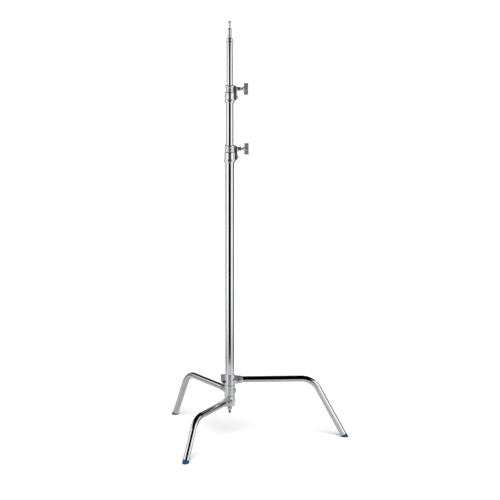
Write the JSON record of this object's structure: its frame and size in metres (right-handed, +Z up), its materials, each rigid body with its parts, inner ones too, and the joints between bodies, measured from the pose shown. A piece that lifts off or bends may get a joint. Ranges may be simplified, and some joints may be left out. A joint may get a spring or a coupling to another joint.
{
  "type": "lighting stand",
  "caption": "Chromed telescopic lighting stand with locking T-handle collars, a round mounting stud, and a low base with one fixed and two folding bent legs.",
  "frame": {"origin": "on the floor, at the middle of the footprint's box; the column stands at x = -0.1301 m, y = -0.0196 m", "axes": "+Z up along the column, +X along the fixed top leg, away from the column"},
  "size_m": [0.7192, 0.735, 1.707],
  "materials": {
    "chrome_tube": "polished chrome plate on steel tube",
    "chrome_casting": "satin chrome plate on cast metal",
    "steel": "zinc-plated fasteners, slightly dull",
    "brass": "plain machined brass",
    "nylon": "plain dark nylon",
    "blue_rubber": "matt moulded blue rubber"
  },
  "bodies": {
    "stand": {"base_column": "chrome_tube", "column_plug": "steel", "collar_1": "chrome_casting", "collar_1_bush": "nylon", "collar_1_screw": "steel", "top_hub": "chrome_casting", "hub_bolt": "steel", "hub_nut": "steel", "hub_washers": "steel", "top_leg": "chrome_tube", "top_rivet": "steel", "top_foot": "blue_rubber", "hub_stud": "steel", "hub_spring": "steel", "cone_washer": "chrome_casting", "dome_nut": "steel"},
    "riser_1_guide": {"riser_1_guide": "nylon"},
    "riser_1": {"riser_1": "chrome_tube", "riser_1_plug": "nylon", "collar_2": "chrome_casting", "collar_2_bush": "nylon", "collar_2_screw": "steel"},
    "riser_2_guide": {"riser_2_guide": "nylon"},
    "riser_2": {"riser_2": "chrome_tube", "riser_2_plug": "nylon", "top_cap": "chrome_casting", "spigot": "chrome_tube", "spigot_pin": "steel"},
    "brake_1": {"brake_shoe_1": "brass"},
    "knob_1": {"knob_1": "chrome_casting", "knob_1_screw": "steel"},
    "brake_2": {"brake_shoe_2": "brass"},
    "knob_2": {"knob_2": "chrome_casting", "knob_2_screw": "steel"},
    "mid_leg": {"mid_hub": "chrome_casting", "mid_leg": "chrome_tube", "mid_rivet": "steel", "mid_foot": "blue_rubber", "mid_detent": "steel"},
    "bottom_leg": {"bottom_hub": "chrome_casting", "bottom_leg": "chrome_tube", "bottom_rivet": "steel", "bottom_foot": "blue_rubber", "bottom_detent": "steel"}
  },
  "joints": [
    {"name": "riser_1_slide", "type": "slide", "parent": "stand", "child": "riser_1_guide", "axis": [0, 0, 1], "range_m": [-0.1697, 0.7932]},
    {"name": "riser_1_turn", "type": "hinge", "parent": "riser_1_guide", "child": "riser_1", "pos_m": [-0.13012, -0.01961, 0.36], "axis": [0, 0, 1], "continuous": true},
    {"name": "riser_2_slide", "type": "slide", "parent": "riser_1", "child": "riser_2_guide", "axis": [0, 0, 1], "range_m": [-0.1667, 0.8052]},
    {"name": "riser_2_turn", "type": "hinge", "parent": "riser_2_guide", "child": "riser_2", "pos_m": [-0.13012, -0.01961, 0.59], "axis": [0, 0, 1], "continuous": true},
    {"name": "brake_1_press", "type": "slide", "parent": "stand", "child": "brake_1", "axis": [1, 0, 0], "range_m": [0, 0.003]},
    {"name": "knob_1_turn", "type": "hinge", "parent": "brake_1", "child": "knob_1", "pos_m": [-0.08012, -0.01961, 1.199], "axis": [1, 0, 0], "range_deg": [0, 720]},
    {"name": "brake_2_press", "type": "slide", "parent": "riser_1", "child": "brake_2", "axis": [1, 0, 0], "range_m": [0, 0.003]},
    {"name": "knob_2_turn", "type": "hinge", "parent": "brake_2", "child": "knob_2", "pos_m": [-0.08012, -0.01961, 1.439], "axis": [1, 0, 0], "range_deg": [0, 720]},
    {"name": "mid_leg_fold", "type": "hinge", "parent": "stand", "child": "mid_leg", "pos_m": [-0.13012, -0.01961, 0.206], "axis": [0, 0, 1], "range_deg": [-120, 0]},
    {"name": "bottom_leg_fold", "type": "hinge", "parent": "stand", "child": "bottom_leg", "pos_m": [-0.13012, -0.01961, 0.162], "axis": [0, 0, 1], "range_deg": [0, 120]}
  ],
  "couplings": [
    {"joint": "knob_1_turn", "follows": "brake_1_press", "rad_per_m": 4188.8},
    {"joint": "knob_2_turn", "follows": "brake_2_press", "rad_per_m": 4188.8}
  ]
}
